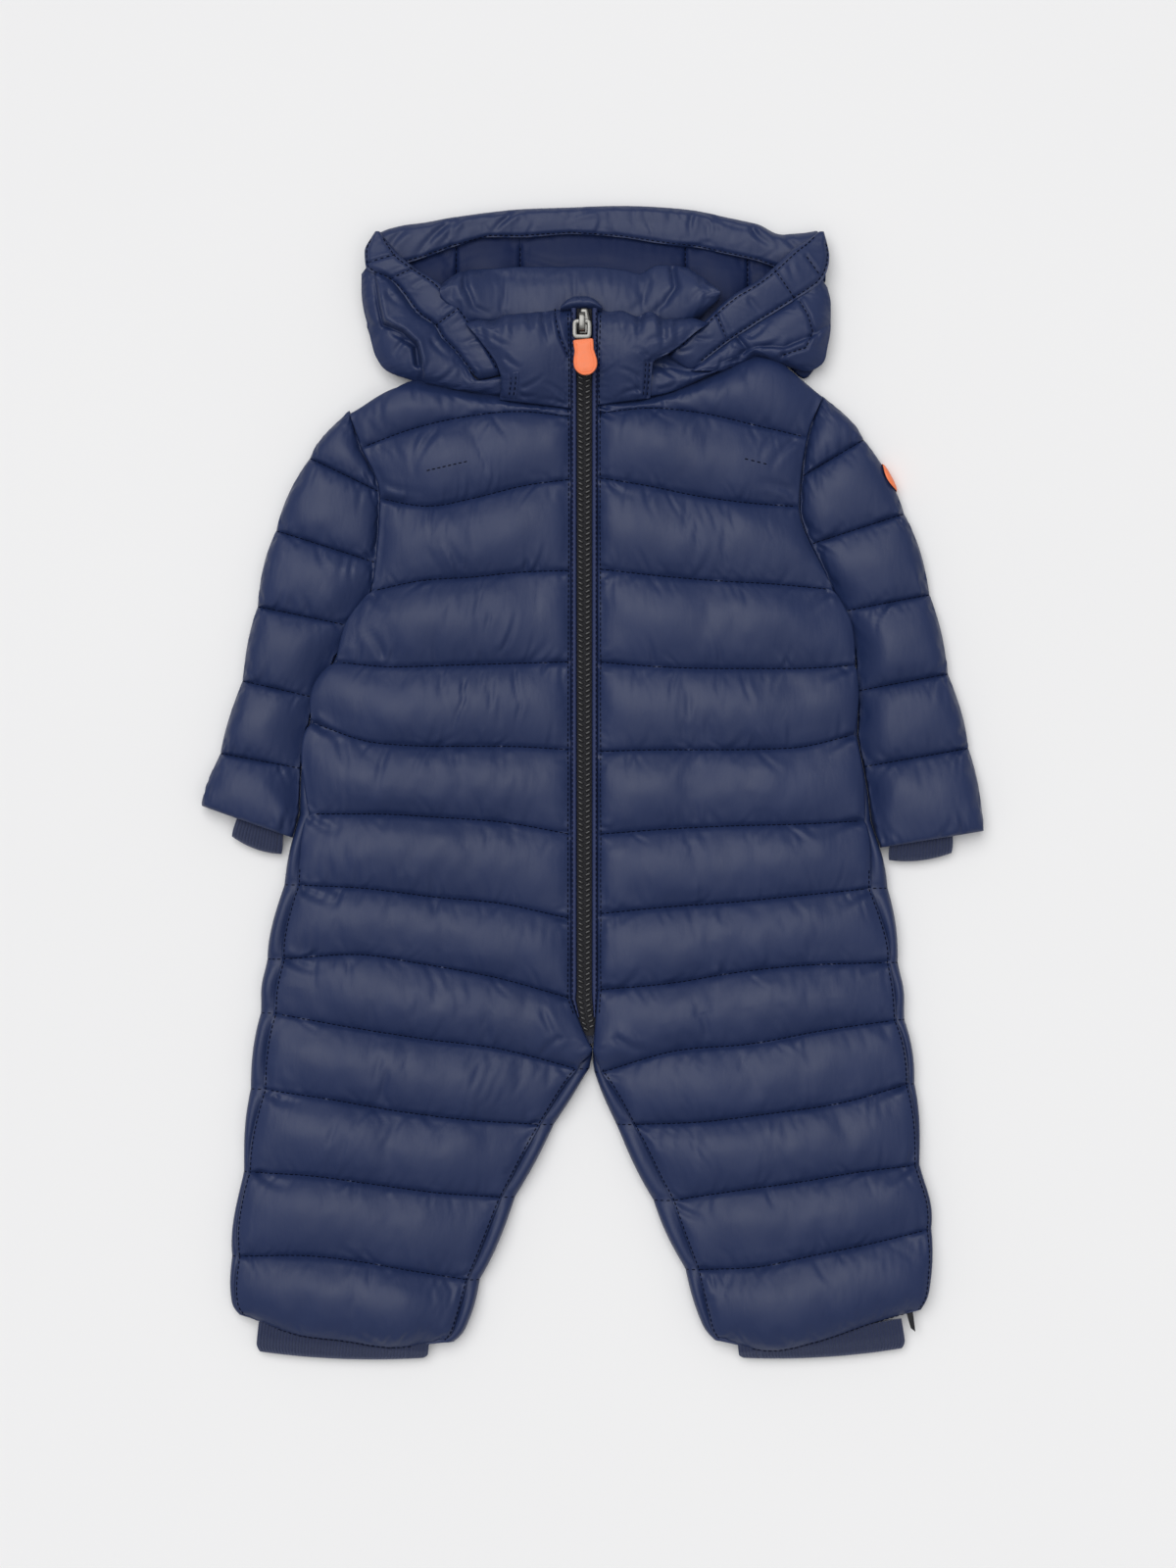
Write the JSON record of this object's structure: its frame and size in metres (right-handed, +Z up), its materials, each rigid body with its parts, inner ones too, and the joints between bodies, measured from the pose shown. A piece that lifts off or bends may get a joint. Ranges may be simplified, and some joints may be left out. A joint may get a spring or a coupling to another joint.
{
  "type": "hooded baby puffer snowsuit laid flat",
  "caption": "Quilted all-in-one snowsuit for a baby, with a hood, knitted cuffs and a full-length zip, laid flat on its back.",
  "frame": {"origin": "on the floor under the middle of the suit's outline as it lies", "axes": "+Z up from the floor, +Y from the feet to the hood, +X to the wearer's left"},
  "size_m": [0.464, 0.684, 0.035],
  "materials": {
    "shell_nylon": "satin woven nylon over light filling",
    "cuff_knit": "matt ribbed knit",
    "zip_welt": "matt woven tape",
    "zip_tape": "matt woven tape",
    "slider_metal": "bright plated metal, slightly worn",
    "grip_rubber": "satin moulded rubber"
  },
  "bodies": {
    "garment": {"front_right": "shell_nylon", "front_left": "shell_nylon", "back_right": "shell_nylon", "back_left": "shell_nylon", "sleeve_right": "shell_nylon", "sleeve_left": "shell_nylon", "wrist_cuff_right": "cuff_knit", "wrist_cuff_left": "cuff_knit", "ankle_cuff_right": "cuff_knit", "ankle_cuff_left": "cuff_knit", "collar_right": "shell_nylon", "collar_left": "shell_nylon", "collar_back": "shell_nylon", "hood_crown": "shell_nylon", "hood_side_right": "shell_nylon", "hood_side_left": "shell_nylon", "hood_band_right": "shell_nylon", "hood_band_left": "shell_nylon", "hood_band_top": "shell_nylon", "hood_tab_right": "shell_nylon", "hood_tab_left": "shell_nylon", "zip_tape": "zip_tape", "zip_welt_right": "zip_welt", "zip_welt_left": "zip_welt", "zip_guard": "zip_welt", "zip_slider": "slider_metal", "sleeve_patch": "grip_rubber", "hem_tab": "zip_tape"},
    "zip_pull": {"pull_frame": "slider_metal", "pull_grip": "grip_rubber"}
  },
  "joints": [
    {"name": "pull_swing", "type": "hinge", "parent": "garment", "child": "zip_pull", "pos_m": [-0.0063, 0.2706, 0.0322], "axis": [-1, 0, 0], "range_deg": [0, 150]}
  ]
}
